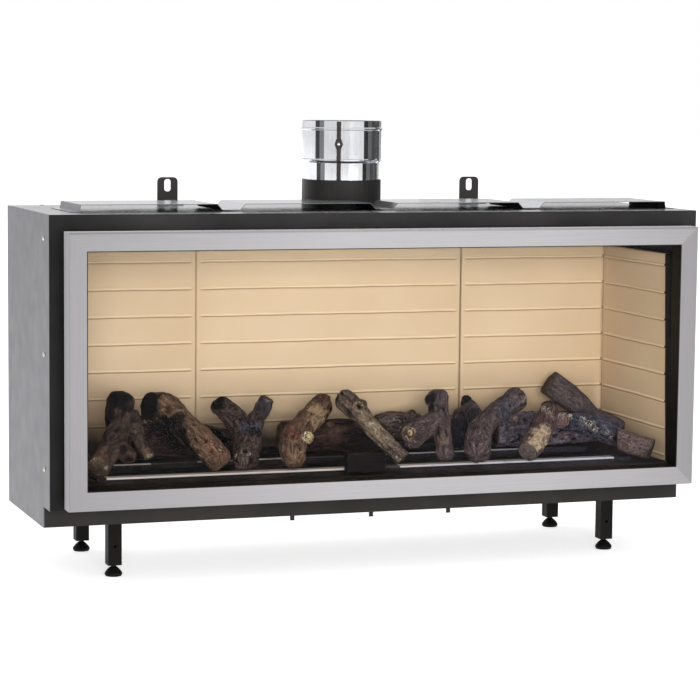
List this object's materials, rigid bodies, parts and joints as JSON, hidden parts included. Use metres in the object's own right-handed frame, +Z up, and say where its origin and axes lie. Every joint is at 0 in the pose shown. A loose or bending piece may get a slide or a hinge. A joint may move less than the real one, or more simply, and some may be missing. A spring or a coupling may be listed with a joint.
{
  "type": "gas fireplace insert",
  "caption": "Wide balanced-flue gas fireplace insert with a glazed firebox, brick lining, ceramic logs, a concentric flue, wall brackets and levelling feet.",
  "frame": {"origin": "on the floor, under the middle of the whole insert's bounding box", "axes": "+X to the right along the width as seen from the front, +Y from the front to the wall, +Z up"},
  "size_m": [1.2508, 0.4326, 0.82],
  "materials": {
    "galvanised": "galvanised sheet, satin grey",
    "dark_sheet": "dark grey baked enamel, satin",
    "satin_steel": "brushed stainless steel",
    "polished_steel": "polished stainless steel",
    "black_steel": "matte black heat-resistant paint",
    "heat_glass": "clear ceramic glass",
    "rope_seal": "woven glass-fibre rope",
    "brick_lining": "cream vermiculite board with a brick pattern",
    "ceramic_log": "cast ceramic fibre, painted as charred wood",
    "burner_black": "black enamelled burner plate",
    "zinc_fastener": "bright zinc plate",
    "brass_fitting": "machined brass",
    "copper_pipe": "drawn copper tube",
    "shield_sheet": "pressed aluminised steel sheet"
  },
  "bodies": {
    "firebox": {"base_pan": "dark_sheet", "side_panel_left": "galvanised", "side_panel_right": "galvanised", "back_panel": "galvanised", "top_panel": "galvanised", "front_plate": "dark_sheet", "firebox_shell": "black_steel", "back_brick_left": "brick_lining", "back_brick_centre": "brick_lining", "back_brick_right": "brick_lining", "side_brick_left": "brick_lining", "side_brick_right": "brick_lining", "burner_tray": "satin_steel", "burner_plate": "burner_black", "pilot_cover": "black_steel", "pilot_burner": "zinc_fastener", "gas_inlet": "brass_fitting", "gas_pipe": "copper_pipe", "flue_collar": "black_steel", "exhaust_pipe": "polished_steel", "heat_shield": "shield_sheet", "wall_bracket_left": "dark_sheet", "bracket_bolt_left": "zinc_fastener", "side_screw_left_lower": "zinc_fastener", "side_screw_left_middle": "zinc_fastener", "side_screw_left_upper": "zinc_fastener", "leg_front_left": "black_steel", "leg_back_left": "black_steel", "wall_bracket_right": "dark_sheet", "bracket_bolt_right": "zinc_fastener", "side_screw_right_lower": "zinc_fastener", "side_screw_right_middle": "zinc_fastener", "side_screw_right_upper": "zinc_fastener", "leg_front_right": "black_steel", "leg_back_right": "black_steel", "log_01": "ceramic_log", "log_02": "ceramic_log", "log_03": "ceramic_log", "log_04": "ceramic_log", "log_05": "ceramic_log", "log_06": "ceramic_log", "log_07": "ceramic_log", "log_08": "ceramic_log", "log_09": "ceramic_log", "log_10": "ceramic_log", "log_11": "ceramic_log", "log_12": "ceramic_log", "log_13": "ceramic_log", "log_14": "ceramic_log", "log_15": "ceramic_log"},
    "trim": {"trim_frame": "satin_steel"},
    "glass_unit": {"glass_frame": "black_steel", "glass_pane": "heat_glass", "glass_seal": "rope_seal"},
    "flue_adapter": {"flue_adapter": "polished_steel"},
    "relief_hatch": {"relief_hatch": "black_steel"},
    "foot_front_left": {"foot_front_left": "black_steel"},
    "foot_front_right": {"foot_front_right": "black_steel"},
    "foot_back_left": {"foot_back_left": "black_steel"},
    "foot_back_right": {"foot_back_right": "black_steel"}
  },
  "joints": [
    {"name": "trim_pull_off", "type": "slide", "parent": "firebox", "child": "trim", "axis": [0, -1, 0], "range_m": [0, 0.3]},
    {"name": "glass_lift_out", "type": "slide", "parent": "firebox", "child": "glass_unit", "axis": [0, -1, 0], "range_m": [0, 0.15]},
    {"name": "adapter_pull_up", "type": "slide", "parent": "firebox", "child": "flue_adapter", "axis": [0, 0, 1], "range_m": [0, 0.1]},
    {"name": "relief_hatch_lift", "type": "slide", "parent": "firebox", "child": "relief_hatch", "axis": [0, 0, 1], "range_m": [0, 0.02]},
    {"name": "foot_front_left_screw", "type": "slide", "parent": "firebox", "child": "foot_front_left", "axis": [0, 0, -1], "range_m": [-0.003, 0.03]},
    {"name": "foot_front_right_screw", "type": "slide", "parent": "firebox", "child": "foot_front_right", "axis": [0, 0, -1], "range_m": [-0.003, 0.03]},
    {"name": "foot_back_left_screw", "type": "slide", "parent": "firebox", "child": "foot_back_left", "axis": [0, 0, -1], "range_m": [-0.003, 0.03]},
    {"name": "foot_back_right_screw", "type": "slide", "parent": "firebox", "child": "foot_back_right", "axis": [0, 0, -1], "range_m": [-0.003, 0.03]}
  ],
  "couplings": [
    {"joint": "glass_lift_out", "follows": "trim_pull_off", "ratio": 0.5}
  ]
}
